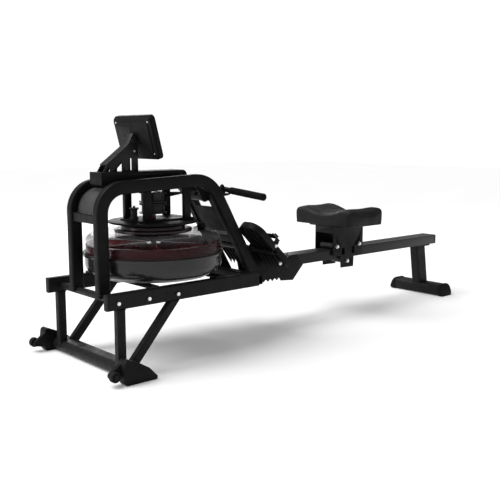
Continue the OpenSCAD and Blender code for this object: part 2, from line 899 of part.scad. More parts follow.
// Pan, side plates, spacers and axles that run on the rail
module seat_carriage() {
    color("#29292b") {
        translate([seat_x, 0, seat_z0 - 1]) linear_extrude(4.9) round_rect(196, 196, 20);
        translate([seat_x - carriage_hx, -54, seat_z0 - 30]) cube([2 * carriage_hx, 108, 29.5]);
        difference() {
            both_sides()
                translate([seat_x, -50, 0])
                    rotate([90, 0, 0])
                        linear_extrude(4)
                            polygon([[-carriage_hx, seat_z0 - 1], [-carriage_hx, 256], [-48, 250], [-46, 200], [34, 198],
                                [36, 244], [carriage_hx, 244], [carriage_hx, seat_z0 - 1]]);
            for (dx = [-upper_roller_x, upper_roller_x])
                translate([seat_x + dx, 0, upper_roller_z]) rod_y(4.02, 120);
            translate([seat_x - 6, 0, lower_roller_z]) rod_y(4.02, 120);
            for (s = [-1, 1])
                translate([seat_x + s * 32 - 9, -60, 256]) cube([18, 120, 30]);
        }
    }
    color("#c8cacc") {
        for (dx = [-upper_roller_x, upper_roller_x])
            translate([seat_x + dx, 0, upper_roller_z]) carriage_axle();
        translate([seat_x - 6, 0, lower_roller_z]) carriage_axle();
    }
}

module carriage_axle() {
    rod_y(4, 108);
    for (s = [-1, 1])
        translate([0, s * 56.6, 0]) rod_y(7, 5);
}

module rail_roller(r, half) {
    rotate([90, 0, 0])
        rotate_extrude($fn = 48)
            polygon([[4.05, -half], [r - 1.5, -half], [r, -half + 1.5], [r, half - 1.5], [r - 1.5, half],
                [4.05, half]]);
}

module roller_front() {
    color("#5a5a5c") translate([seat_x - upper_roller_x, 0, upper_roller_z]) rail_roller(roller_r, 36);
}

module roller_rear() {
    color("#5a5a5c") translate([seat_x + upper_roller_x, 0, upper_roller_z]) rail_roller(roller_r, 36);
}

module roller_lower() {
    color("#5a5a5c") translate([seat_x - 6, 0, lower_roller_z]) rail_roller(lower_roller_r, 36);
}

// ---- foot plates ----

// Places a part in the frame of the left foot plate: X runs down to the heel, Z up from the sole
module on_pedal(side) {
    translate([pedal_at[0], side * pedal_y, pedal_at[2]])
        rotate([0, foot_tilt, 0])
            children();
}

// Outline of the sole with its round toe, seen from above
function sole_line(inset, extra = 0) =
    let (half = pedal_w / 2, r = 46)
    concat([[pedal_l + extra, -half + inset]],
        [for (p = arc(r, -half + r, r - inset, 270, 180, 8)) p],
        [for (p = arc(r, half - r, r - inset, 180, 90, 8)) p],
        [[pedal_l + extra, half - inset]]);

module footplate() {
    // Sole with its upstanding rim and the ribs beneath
    difference() {
        union() {
            translate([0, 0, -5]) linear_extrude(5) polygon(sole_line(0));
            translate([0, 0, -20])
                linear_extrude(26)
                    difference() {
                        polygon(sole_line(0));
                        polygon(sole_line(4, 10));
                    }
            // Ribs along the sole, deeper towards the heel
            for (i = [-2:2])
                translate([0, i * 21 + 1.5, 0])
                    rotate([90, 0, 0])
                        linear_extrude(3)
                            polygon([[2 + 7 * abs(i) * abs(i), -4], [2 + 7 * abs(i) * abs(i), -14], [146, -26],
                                [pedal_l + 6, -40], [pedal_l - 6, -24], [pedal_l - 4, -4]]);
        }
        for (s = [-1, 1])
            translate([160, s * 10.5 - 4, -10]) cube([64, 8, 20]);
        for (s = [-1, 1])
            translate([112, s * (pedal_w / 2 - 9) - 3, -10]) cube([strap_w + 4, 6, 20]);
        // Seat for the cross bar
        translate([foot_bar[0], 0, foot_bar[1]]) rod_y(11.1, 160);
    }
}

module footplates() {
    color("#262628")
        for (s = [-1, 1])
            on_pedal(s) footplate();
}

// Heel cup that slides on the foot plate to suit the shoe
module heel_slider(side) {
    on_pedal(side) {
        translate([148, -44, 0.4]) cube([82, 88, 5]);
        for (s = [-1, 1])
            translate([182, s * 10.5 - 3.6, -4.9]) cube([20, 7.2, 5.5]);
        difference() {
            translate([192, 0, 0.4]) cylinder(r = 50, h = 22);
            translate([192, 0, 5]) cylinder(r = 45, h = 50);
            translate([130, -60, -1]) cube([72, 120, 60]);
        }
    }
}

module heel_slider_left() {
    color("#3c3c3e") heel_slider(-1);
}

module heel_slider_right() {
    color("#3c3c3e") heel_slider(1);
}

// Webbing over the shoe, threaded through the side slots
module foot_straps() {
    half = pedal_w / 2 - 8;
    color("#17171a")
        for (s = [-1, 1])
            on_pedal(s)
                translate([114 + strap_w, 0, 0])
                    rotate([90, 0, -90])
                        linear_extrude(strap_w)
                            difference() {
                                polygon(concat([[-half, -8.5]], [[half, -8.5], [half, 16]],
                                    arc(half - 24, 16, 24, 0, 80, 5), arc(-half + 24, 16, 24, 100, 180, 5)));
                                polygon(concat([[-half + 2.5, 1]], [[half - 2.5, 1], [half - 2.5, 16]],
                                    arc(half - 24, 16, 21.5, 0, 80, 5), arc(-half + 24, 16, 21.5, 100, 180, 5)));
                                translate([-half + 2.5, -20]) square([2 * half - 5, 22]);
                            }
}

// ---- console ----

// Bent bracket that carries the monitor
module console_bracket() {
    outline = [[-852, spine_z1 + 0.1], [-838, 668], [-764, 724], [-748, 738], [-730, 770], [-722, 766],
        [-718, 746], [-714.5, 720], [-714.5, spine_z1 + 0.1]];
    far_outline = [[-852, spine_z1 + 0.1], [-838, 668], [-764, 724], [-748, 738], [-730, 770], [-722, 766],
        [-722, spine_z1 + 0.1]];
    color("#b8babd") {
        difference() {
            union() {
                // The far cheek is cut further back than the near one
                for (s = [-1, 1])
                    translate([s > 0 ? 33 : 0, s > 0 ? 20 : -17, 0])
                        rotate([90, 0, 0])
                            linear_extrude(3)
                                difference() {
                                    translate([s > 0 ? -33 : 0, 0]) polygon(s > 0 ? far_outline : outline);
                                    polygon([[-842, 640], [-838, 655], [-826, 672], [-826, 640]]);
                                    polygon([[-808, 640], [-808, 655], [-779, 682], [-779, 640]]);
                                    if (s < 0) translate([-753, 650]) square([13, 40]);
                                }
            }
            translate([pivot[0], 0, pivot[2]]) rod_y(4.05, 100);
        }
        difference() {
            rotate([90, 0, 0])
                linear_extrude(40, center = true)
                    polygon([[-841, 670], [-764, 727], [-750, 740], [-733, 773], [-730, 770], [-747, 738],
                        [-763, 723.8], [-838, 667]]);
            translate([pivot[0], 0, pivot[2]]) rod_y(9.5, 34);
        }
    }
    color("#d0d2d4")
        translate([pivot[0], 0, pivot[2]]) {
            rod_y(4, 44);
            for (s = [-1, 1])
                translate([0, s * 22.6, 0]) rod_y(6.5, 5);
        }
}

// Places a part in the frame of the monitor: X out of the screen, Z up its face
module on_monitor() {
    translate(monitor_c) rotate([0, -monitor_lean, 0]) children();
}

module monitor_plate(t, inset = 0, r = 16) {
    rotate([90, 0, 90])
        linear_extrude(t)
            round_rect(monitor_size[1] - 2 * inset, monitor_size[2] - 2 * inset, r);
}

module monitor_case() {
    color("#202022") {
        difference() {
            union() {
                on_monitor() {
                    translate([-2, 0, 0]) monitor_plate(10.95);
                    translate([-9, 0, 0]) monitor_plate(7.1, 4);
                    translate([-13, 0, 0]) monitor_plate(4.1, 18);
                }
            }
            on_monitor() translate([-7, 0, 0]) monitor_plate(20, 7, 10);
        }
        // Lug on the pivot pin
        difference() {
            translate([pivot[0], 0, pivot[2]])
                rotate([90, 0, 0])
                    linear_extrude(33, center = true)
                        union() {
                            circle(9);
                            polygon([[0, -9], [0, 9], [22, 4], [18, -14]]);
                        }
            translate([pivot[0], 0, pivot[2]]) rod_y(4.05, 100);
            on_monitor() translate([-9, 0, 0]) monitor_plate(40, 8);
        }
    }
}

module monitor_bezel() {
    color("#2a2a2d")
        on_monitor()
            difference() {
                union() {
                    translate([9, 0, 0]) monitor_plate(4);
                    translate([3, 0, 0]) monitor_plate(6.05, 7.3, 9.5);
                }
                translate([0, 0, 0]) monitor_plate(7, 10, 8);
                translate([11.5, -80, -22]) cube([4, 160, 76]);
                for (y = button_at)
                    translate([2, y, -46]) rotate([0, 90, 0]) cylinder(r = button_r + 0.1, h = 20);
            }
    color([0.35, 0.4, 0.38])
        on_monitor()
            translate([11.6, -79.7, -21.7]) cube([1.2, 159.4, 75.4]);
}

module monitor_button(i) {
    color("#6a6c70")
        on_monitor()
            translate([6.2, button_at[i], -46]) rotate([0, 90, 0]) cylinder(r = button_r, h = 8.8);
}

module button_left() {
    monitor_button(0);
}

module button_middle() {
    monitor_button(1);
}

module button_right() {
    monitor_button(2);
}

front_stabilizer();
front_foot_caps();
wheel_axles();
front_legs();
diagonal_struts();
lower_rail_left();
lower_rail_right();
tube_end_caps();
frame_bolts();
front_crossbar();
rear_cross_member();
hoop_left();
hoop_right();
hoop_cross_tubes();
cover_panels();
spine_beam();
foot_frame();
rail_bracket();
slide_rail();
rail_stops();
rear_post();
rear_stabilizer();
rear_foot_caps();
tank_lower_shell();
tank_upper_shell();
tank_seal();
tank_base_ring();
tank_supports();
tank_plug();
water();
hub_cover();
mounting_plate();
hanging_posts();
guide_bracket();
footplates();
foot_straps();
handle_cradle();
handle_strap();
console_bracket();
impeller();
strap_drum();
guide_roller();
bungee_pulley();
handle_bar();
handle_grips();
transport_wheel_left();
transport_wheel_right();
seat_pad();
seat_carriage();
roller_front();
roller_rear();
roller_lower();
heel_slider_left();
heel_slider_right();
monitor_case();
monitor_bezel();
button_left();
button_middle();
button_right();
shaft_bearings();
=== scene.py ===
import json
import math
import bmesh
import bpy
from mathutils import Matrix, Vector


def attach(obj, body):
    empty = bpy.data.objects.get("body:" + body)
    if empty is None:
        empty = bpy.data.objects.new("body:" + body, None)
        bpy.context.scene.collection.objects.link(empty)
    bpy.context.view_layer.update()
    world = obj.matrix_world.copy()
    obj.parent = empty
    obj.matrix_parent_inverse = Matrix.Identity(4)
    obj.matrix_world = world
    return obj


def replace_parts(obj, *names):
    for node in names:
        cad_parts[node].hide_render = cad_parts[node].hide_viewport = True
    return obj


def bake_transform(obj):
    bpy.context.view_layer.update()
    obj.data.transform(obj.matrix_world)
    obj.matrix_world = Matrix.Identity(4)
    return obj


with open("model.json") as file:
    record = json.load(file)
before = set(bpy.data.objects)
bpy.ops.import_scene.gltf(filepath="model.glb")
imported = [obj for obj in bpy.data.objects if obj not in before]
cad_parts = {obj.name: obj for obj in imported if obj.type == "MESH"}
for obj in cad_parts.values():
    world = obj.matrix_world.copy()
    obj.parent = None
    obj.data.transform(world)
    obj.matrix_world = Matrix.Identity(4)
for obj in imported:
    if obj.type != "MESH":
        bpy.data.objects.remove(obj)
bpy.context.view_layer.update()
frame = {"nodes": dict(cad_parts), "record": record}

MM = 0.001
NODES = frame["nodes"]
sin, cos, pi = math.sin, math.cos, math.pi
rad = math.radians

# Places shared by several pieces, in millimetres
TANK_X = -644.0
HOOP_Y = 85.0
CARRIAGE_X = 335.0
MONITOR_X, MONITOR_Z, MONITOR_TILT = -704.0, 759.0, -14.5


# ---------------------------------------------------------------- materials
def links(mat):
    return mat.node_tree.nodes, mat.node_tree.links


def surface(name, color, rough=0.5, metallic=0.0, vary=0.12, vary_scale=14.0, grain=600.0, bump=0.15,
            bump_dist=0.0002, rough_vary=0.1, wear=0.0, wear_color=(0.25, 0.25, 0.26), stretch=(1, 1, 1),
            coat=0.0, specular=0.5, alpha=1.0, sheen=0.0, pattern="noise", uv=False):
    """A principled surface with colour clouding, roughness variation, fine relief and rubbed edges."""
    mat = bpy.data.materials.new(name)
    mat.use_nodes = True
    nd, lk = links(mat)
    bsdf = nd["Principled BSDF"]
    bsdf.inputs["Metallic"].default_value = metallic
    bsdf.inputs["Coat Weight"].default_value = coat
    bsdf.inputs["Specular IOR Level"].default_value = specular
    bsdf.inputs["Sheen Weight"].default_value = sheen
    bsdf.inputs["Alpha"].default_value = alpha
    tex = nd.new("ShaderNodeTexCoord")
    mapping = nd.new("ShaderNodeMapping")
    mapping.inputs["Scale"].default_value = stretch
    lk.new(tex.outputs["UV" if uv else "Object"], mapping.inputs["Vector"])
    cloud = nd.new("ShaderNodeTexNoise")
    cloud.inputs["Scale"].default_value = vary_scale
    cloud.inputs["Detail"].default_value = 4
    lk.new(mapping.outputs["Vector"], cloud.inputs["Vector"])
    ramp = nd.new("ShaderNodeValToRGB")
    lo = [max(0.0, c * (1 - vary)) for c in color]
    hi = [min(1.0, c * (1 + vary)) for c in color]
    ramp.color_ramp.elements[0].position = 0.3
    ramp.color_ramp.elements[0].color = (*lo, 1)
    ramp.color_ramp.elements[1].position = 0.7
    ramp.color_ramp.elements[1].color = (*hi, 1)
    lk.new(cloud.outputs["Fac"], ramp.inputs["Fac"])
    out_color = ramp.outputs["Color"]
    if wear > 0:
        geo = nd.new("ShaderNodeNewGeometry")
        edge = nd.new("ShaderNodeMapRange")
        edge.inputs["From Min"].default_value = 0.53
        edge.inputs["From Max"].default_value = 0.62
        lk.new(geo.outputs["Pointiness"], edge.inputs["Value"])
        scuff = nd.new("ShaderNodeTexNoise")
        scuff.inputs["Scale"].default_value = 90
        lk.new(mapping.outputs["Vector"], scuff.inputs["Vector"])
        mul = nd.new("ShaderNodeMath")
        mul.operation = "MULTIPLY"
        lk.new(edge.outputs["Result"], mul.inputs[0])
        lk.new(scuff.outputs["Fac"], mul.inputs[1])
        amount = nd.new("ShaderNodeMath")
        amount.operation = "MULTIPLY"
        amount.inputs[1].default_value = wear
        lk.new(mul.outputs["Value"], amount.inputs[0])
        mix = nd.new("ShaderNodeMix")
        mix.data_type = "RGBA"
        mix.inputs["B"].default_value = (*wear_color, 1)
        lk.new(amount.outputs["Value"], mix.inputs["Factor"])
        lk.new(out_color, mix.inputs["A"])
        out_color = mix.outputs["Result"]
    lk.new(out_color, bsdf.inputs["Base Color"])
    # relief
    if pattern == "weave":
        height = weave_height(nd, lk, mapping, grain)
    elif pattern == "leather":
        cells = nd.new("ShaderNodeTexVoronoi")
        cells.feature = "SMOOTH_F1"
        cells.inputs["Scale"].default_value = grain
        lk.new(mapping.outputs["Vector"], cells.inputs["Vector"])
        height = cells.outputs["Distance"]
    else:
        fine = nd.new("ShaderNodeTexNoise")
        fine.inputs["Scale"].default_value = grain
        fine.inputs["Detail"].default_value = 3
        lk.new(mapping.outputs["Vector"], fine.inputs["Vector"])
        height = fine.outputs["Fac"]
    bump_node = nd.new("ShaderNodeBump")
    bump_node.inputs["Strength"].default_value = bump
    bump_node.inputs["Distance"].default_value = bump_dist
    lk.new(height, bump_node.inputs["Height"])
    lk.new(bump_node.outputs["Normal"], bsdf.inputs["Normal"])
    patches = nd.new("ShaderNodeTexNoise")
    patches.inputs["Scale"].default_value = vary_scale * 2.3
    patches.inputs["Detail"].default_value = 5
    lk.new(mapping.outputs["Vector"], patches.inputs["Vector"])
    span = nd.new("ShaderNodeMapRange")
    span.inputs["From Min"].default_value = 0.3
    span.inputs["From Max"].default_value = 0.7
    span.inputs["To Min"].default_value = max(0.02, rough - rough_vary)
    span.inputs["To Max"].default_value = min(1.0, rough + rough_vary)
    lk.new(patches.outputs["Fac"], span.inputs["Value"])
    lk.new(span.outputs["Result"], bsdf.inputs["Roughness"])
    if alpha < 1:
        mat.surface_render_method = "BLENDED"
    return mat


def weave_height(nd, lk, mapping, scale):
    """Over-and-under ribs along and across a strap."""
    waves = []
    for direction in ("X", "Y"):
        wave = nd.new("ShaderNodeTexWave")
        wave.wave_type = "BANDS"
        wave.bands_direction = direction
        wave.inputs["Scale"].default_value = scale
        wave.inputs["Distortion"].default_value = 0.4
        lk.new(mapping.outputs["Vector"], wave.inputs["Vector"])
        waves.append(wave)
    mul = nd.new("ShaderNodeMath")
    mul.operation = "MAXIMUM"
    lk.new(waves[0].outputs["Fac"], mul.inputs[0])
    lk.new(waves[1].outputs["Fac"], mul.inputs[1])
    return mul.outputs["Value"]


def tinted(name, color, alpha, rough=0.08, streak=0.05, coat=0.4, specular=0.5, rim=0.35, wet=None):
    """Clear or tinted moulded plastic: alpha with faint flow marks.

    rim is the alpha added where the wall is seen edge on. wet is (z0, z1, share): below z0 the alpha is
    cut to that share, and it is whole again above z1, both in metres.
    """
    mat = surface(name, color, rough=rough, vary=0.1, vary_scale=6, bump=0.0, rough_vary=streak, coat=coat,
                  alpha=alpha, specular=specular)
    nd, lk = links(mat)
    bsdf = nd["Principled BSDF"]
    # thicker towards the rim, so the edges read as solid
    facing = nd.new("ShaderNodeLayerWeight")
    facing.inputs["Blend"].default_value = 0.35
    span = nd.new("ShaderNodeMapRange")
    span.inputs["To Min"].default_value = alpha
    span.inputs["To Max"].default_value = min(1.0, alpha + rim)
    lk.new(facing.outputs["Facing"], span.inputs["Value"])
    out = span.outputs["Result"]
    if wet:
        # wetted by the water up to its level, the wall shows less of its own haze
        coord = nd.new("ShaderNodeTexCoord")
        split = nd.new("ShaderNodeSeparateXYZ")
        lk.new(coord.outputs["Object"], split.inputs["Vector"])
        line = nd.new("ShaderNodeMapRange")
        line.inputs["From Min"].default_value = wet[0]
        line.inputs["From Max"].default_value = wet[1]
        line.inputs["To Min"].default_value = wet[2]
        line.inputs["To Max"].default_value = 1.0
        lk.new(split.outputs["Z"], line.inputs["Value"])
        mul = nd.new("ShaderNodeMath")
        mul.operation = "MULTIPLY"
        lk.new(out, mul.inputs[0])
        lk.new(line.outputs["Result"], mul.inputs[1])
        out = mul.outputs["Value"]
    lk.new(out, bsdf.inputs["Alpha"])
    return mat


M = {
    "black_steel": surface("black_steel", (0.0036, 0.0036, 0.0038), rough=0.48, vary=0.25, grain=900,
                           bump=0.22, bump_dist=0.00012, wear=0.35, wear_color=(0.03, 0.03, 0.032),
                           specular=0.13),
    "panel_grey": surface("panel_grey", (0.028, 0.028, 0.030), rough=0.46, vary=0.16, grain=900, bump=0.2,
                          bump_dist=0.0001, wear=0.3, wear_color=(0.09, 0.09, 0.09), specular=0.4),
    "black_plastic": surface("black_plastic", (0.0038, 0.0038, 0.004), rough=0.5, vary=0.25, grain=1500,
                             bump=0.3, bump_dist=0.00015, wear=0.25, wear_color=(0.025, 0.025, 0.027),
                             specular=0.12),
    "bright_bolts": surface("bright_bolts", (0.86, 0.87, 0.88), rough=0.24, metallic=0.6, vary=0.05,
                            grain=800, bump=0.08, rough_vary=0.08),
    "bracket_grey": surface("bracket_grey", (0.008, 0.008, 0.0085), rough=0.42, vary=0.2, grain=700,
                            bump=0.15, stretch=(0.12, 1, 1), wear=0.4, wear_color=(0.07, 0.07, 0.07),
                            specular=0.25),
    "rail_alloy": surface("rail_alloy", (0.007, 0.007, 0.0073), rough=0.33, metallic=0.0, vary=0.2, grain=900,
                          bump=0.18, bump_dist=0.0001, stretch=(0.03, 1, 1), wear=0.5,
                          wear_color=(0.06, 0.06, 0.06), specular=0.22),
    "rubber": surface("rubber", (0.008, 0.008, 0.008), rough=0.72, vary=0.2, grain=1100, bump=0.35,
                      bump_dist=0.0002, specular=0.15),
    "red_rubber": surface("red_rubber", (0.012, 0.005, 0.005), rough=0.6, vary=0.15, grain=700, bump=0.2,
                          specular=0.15),
    "clear_shell": tinted("clear_shell", (0.055, 0.055, 0.058), 0.11, rough=0.2, coat=0.0, specular=0.3,
                          rim=0.5, wet=(0.404, 0.420, 0.3)),
    "smoky_shell": tinted("smoky_shell", (0.016, 0.016, 0.017), 0.88, rough=0.2, streak=0.06, coat=0.1,
                          specular=0.35),
    "base_grey": surface("base_grey", (0.42, 0.42, 0.43), rough=0.5, vary=0.1, grain=900, bump=0.2),
    "tank_water": tinted("tank_water", (0.034, 0.005, 0.008), 0.88, rough=0.25, coat=0.0, specular=0.25),
    "dark_red_plastic": surface("dark_red_plastic", (0.016, 0.005, 0.006), rough=0.34, vary=0.3, grain=500,
                                bump=0.12, coat=0.2),
    "webbing": surface("webbing", (0.006, 0.006, 0.0062), rough=0.8, vary=0.25, vary_scale=60, grain=140,
                       bump=0.6, bump_dist=0.0005, sheen=0.02, pattern="weave", uv=True, specular=0.15),
    "foam": surface("foam", (0.0055, 0.0055, 0.0058), rough=0.85, vary=0.2, grain=420, bump=0.6,
                    bump_dist=0.0005, sheen=0.0, specular=0.08),
    "cushion": surface("cushion", (0.0062, 0.0062, 0.0066), rough=0.56, vary=0.16, grain=520, bump=0.35,
                       bump_dist=0.0004, pattern="leather", sheen=0.01, specular=0.2),
    "grey_plastic": surface("grey_plastic", (0.012, 0.012, 0.0125), rough=0.45, vary=0.16, grain=1200,
                            bump=0.22, wear=0.3, wear_color=(0.08, 0.08, 0.08), specular=0.25),
    "bearing_steel": surface("bearing_steel", (0.55, 0.55, 0.56), rough=0.3, metallic=0.9, vary=0.1,
                             grain=300, bump=0.1, stretch=(1, 1, 6)),
    "weld": surface("weld", (0.006, 0.006, 0.0063), rough=0.46, vary=0.3, grain=260, bump=0.8,
                    bump_dist=0.0008, specular=0.2),
    "buckle": surface("buckle", (0.06, 0.06, 0.062), rough=0.3, metallic=0.3, vary=0.15, grain=1400, bump=0.2,
                      wear=0.4),
    "screen": surface("screen", (0.04, 0.046, 0.043), rough=0.12, vary=0.08, grain=40, bump=0.02, coat=0.8),
    "cap_black": surface("cap_black", (0.005, 0.005, 0.0052), rough=0.5, vary=0.2, grain=1300, bump=0.25,
                         specular=0.16),
    "impeller_red": surface("impeller_red", (0.20, 0.012, 0.022), rough=0.3, vary=0.2, grain=400, bump=0.1,
                            coat=0.3),
}

for part in frame["record"]["subparts"]:
    node = NODES[part["node"]]
    mat = M[part["material_slot"]]
    if not node.material_slots:
        node.data.materials.append(mat)
    for s in node.material_slots:
        s.material = mat

# The rear cover has a blacker finish than the front one.
COVER_SPLIT_X = -0.55
covers = NODES["cover_panels"].data
covers.materials.append(M["black_plastic"])
for poly in covers.polygons:
    if poly.center.x > COVER_SPLIT_X:
        poly.material_index = 1
# Only the heads of the frame bolts are bright; their washers are painted like the frame.
# Each washer is (its seat from the centre plane, its thickness), in metres.
WASHERS = ((0.20605, 0.0016), (0.0451, 0.0016), (0.02005, 0.00103))
WASHER_SLACK = 0.0002
bolts = NODES["frame_bolts"].data
bolts.materials.append(M["black_steel"])
for poly in bolts.polygons:
    if any(-WASHER_SLACK < abs(poly.center.y) - seat < thick + WASHER_SLACK for seat, thick in WASHERS):
        poly.material_index = 1
NODES["impeller"].material_slots[0].material = M["impeller_red"]
NODES["wheel_axles"].material_slots[0].material = M["cap_black"]


# ---------------------------------------------------------------- mesh helpers
def place(name, verts, faces, mat, body, smooth=True, uvs=None):
    mesh = bpy.data.meshes.new(name)
    mesh.from_pydata([Vector(v) * MM for v in verts], [], faces)
    bm = bmesh.new()
    bm.from_mesh(mesh)
    bmesh.ops.recalc_face_normals(bm, faces=bm.faces)
    bm.to_mesh(mesh)
    bm.free()
    for p in mesh.polygons:
        p.use_smooth = smooth
    mesh.materials.append(M[mat] if isinstance(mat, str) else mat)
    obj = bpy.data.objects.new(name, mesh)
    bpy.context.scene.collection.objects.link(obj)
    if uvs:
        layer = mesh.uv_layers.new(name="UVMap")
        for loop in mesh.loops:
            layer.data[loop.index].uv = uvs[loop.vertex_index]
    if body:
        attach(obj, body)
    return obj


class Build:
    """Collects verts and faces of several shapes into one mesh, in millimetres."""

    def __init__(self):
        self.v, self.f, self.uv = [], [], []

    def add(self, verts, faces, uvs=None):
        o = len(self.v)
        self.v += [tuple(p) for p in verts]
        self.f += [[i + o for i in f] for f in faces]
        self.uv += list(uvs) if uvs else [(0, 0)] * len(verts)

    def rings(self, rings, closed=True, caps=True, uvs=None, loop=False):
        """Skin between rings of equal length. loop joins the last ring to the first."""
        n = len(rings[0])
        verts = [p for r in rings for p in r]
        faces = []
        count = len(rings)
        for k in range(count if loop else count - 1):
            a, b = k * n, ((k + 1) % count) * n
            for i in range(n if closed else n - 1):
                j = (i + 1) % n
                faces.append([a + i, a + j, b + j, b + i])
        if caps and not loop:
            faces.append(list(range(n - 1, -1, -1)))
            faces.append([(count - 1) * n + i for i in range(n)])
        self.add(verts, faces, uvs)

    def lathe(self, profile, origin, axis=(0, 0, 1), seg=48, start=None):
        """profile is (radius, height) pairs from bottom to top; closed by its own ends on the axis."""
        ax = Vector(axis).normalized()
        u = ax.orthogonal().normalized() if start is None else Vector(start)
        w = ax.cross(u)
        o = Vector(origin)
        rings = []
        for r, h in profile:
            rings.append([o + ax * h + (u * cos(2 * pi * i / seg) + w * sin(2 * pi * i / seg)) * max(r, 0.01)
                          for i in range(seg)])
        self.rings(rings)

    def box(self, size, loc, rot=Matrix.Identity(3), r=1.0):
        """Box with chamfered and rounded edges, made of stacked rounded outlines."""
        sx, sy, sz = (s / 2 for s in size)
        r = min(r, sx, sy, sz)
        rings = []
        levels = [(-sz + (r - r * cos(a)), r - r * sin(a)) for a in (0, pi / 6, pi / 3, pi / 2)]
        levels += [(sz - (r - r * cos(a)), r - r * sin(a)) for a in (pi / 2, pi / 3, pi / 6, 0)]
        for z, inset in levels:
            ring = []
            for cx, cy, a0 in ((1, 1, 0), (-1, 1, 90), (-1, -1, 180), (1, -1, 270)):
                for k in range(4):
                    a = rad(a0 + k * 30)
                    rr = max(r - inset, 0.02)
                    ring.append(Vector((cx * (sx - r) + rr * cos(a), cy * (sy - r) + rr * sin(a), z)))
            rings.append([Vector(loc) + rot @ p for p in ring])
        self.rings(rings)

    def done(self, name, mat, body, smooth=True, uv=False):
        return place(name, self.v, self.f, mat, body, smooth, self.uv if uv else None)


def rounded(w, h, r, n=5):
    """Points of a rounded rectangle, centred."""
    pts = []
    for cx, cy, a0 in ((1, 1, 0), (-1, 1, 90), (-1, -1, 180), (1, -1, 270)):
        for k in range(n + 1):
            a = rad(a0 + 90 * k / n)
            pts.append((cx * (w / 2 - r) + r * cos(a), cy * (h / 2 - r) + r * sin(a)))
    return pts


def arc(cx, cy, r, a0, a1, n):
    return [(cx + r * cos(rad(a0 + (a1 - a0) * i / n)), cy + r * sin(rad(a0 + (a1 - a0) * i / n)))
            for i in range(n + 1)]


def sharp_by_angle(obj, angle=35):
    mesh = obj.data
    bm = bmesh.new()
    bm.from_mesh(mesh)
    for e in bm.edges:
        e.smooth = not (len(e.link_faces) == 2 and e.calc_face_angle(0) > rad(angle))
    bm.to_mesh(mesh)
    bm.free()


def soften(name, width, angle=40, segments=2):
    """Rounds the hard edges of a CAD node."""
    obj = NODES[name]
    weld = obj.modifiers.new("weld", "WELD")
    weld.merge_threshold = 0.00002
    bev = obj.modifiers.new("bevel", "BEVEL")
    bev.width = width * MM
    bev.segments = segments
    bev.limit_method = "ANGLE"
    bev.angle_limit = rad(angle)
    bev.use_clamp_overlap = True
    bev.harden_normals = False
    for p in obj.data.polygons:
        p.use_smooth = True


# ---------------------------------------------------------------- hoops
HOOP_X, SLOPE, LEAN, FRONT_R, REAR_R = -905.0, 2.3, 30.0, 84.0, 110.0
# height of the front corner, and the rear corner up the slope from it
FRONT_Z, REAR = 594.0, (-459.6, 594 + 445.4 * math.tan(rad(2.3)))
RUN_OUT_Z, FOOT_Z = 233.5, 233.6
front_t = FRONT_R * math.tan(rad(90 - SLOPE) / 2)
rear_t = REAR_R * math.tan(rad(90 - LEAN + SLOPE) / 2)


def hoop_path():
    """(x, z, tangent angle) along the middle of a hoop."""
    pts = []
    c1 = (HOOP_X + FRONT_R, FRONT_Z - front_t)
    top = (cos(rad(SLOPE)), sin(rad(SLOPE)))
    up = (-top[1], top[0])
    c2 = (REAR[0] - rear_t * top[0] - REAR_R * up[0], REAR[1] - rear_t * top[1] - REAR_R * up[1])
    for z in (242, 300, 400, c1[1] - 4):
        pts.append((HOOP_X, z, 90))
    for x, z in arc(*c1, FRONT_R, 180, 90 + SLOPE, 18):
        pts.append((x, z, math.degrees(math.atan2(z - c1[1], x - c1[0])) - 90))
    for x, z in arc(*c2, REAR_R, 90 + SLOPE, LEAN, 16):
        pts.append((x, z, math.degrees(math.atan2(z - c2[1], x - c2[0])) - 90))
    last = pts[-1]
    end_x = REAR[0] + (REAR[1] - RUN_OUT_Z) * math.tan(rad(LEAN))
    for k in (0.03, 0.5, 1.0):
        pts.append((last[0] + (end_x - last[0]) * k, last[1] + (RUN_OUT_Z - last[1]) * k, -(90 - LEAN)))
    return pts


def hoop(name, y):
    b = Build()
    prof = rounded(30, 44, 6.5, 5)
    rings = []
    path = hoop_path()
    for i, (x, z, ang) in enumerate(path):
        a = rad(ang)
        n = (-sin(a), cos(a))
        ring = []
        for py, pn in prof:
            q = [x + n[0] * pn, y + py, z + n[1] * pn]
            if i == len(path) - 1:
                # the foot is cut level
                k = (FOOT_Z - q[2]) / sin(a)
                q = [q[0] + cos(a) * k, q[1], FOOT_Z]
            ring.append(q)
        rings.append(ring)
    b.rings(rings)
    obj = b.done(name, "black_steel", "frame")
    sharp_by_angle(obj, 50)
    return obj


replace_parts(hoop("hoop_tube_left", -HOOP_Y), "hoop_left")
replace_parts(hoop("hoop_tube_right", HOOP_Y), "hoop_right")


# ---------------------------------------------------------------- seat cushion
def apply_modifiers(obj):
    dg = bpy.context.evaluated_depsgraph_get()
    dg.update()
    mesh = bpy.data.meshes.new_from_object(obj.evaluated_get(dg))
    obj.modifiers.clear()
    obj.data = mesh


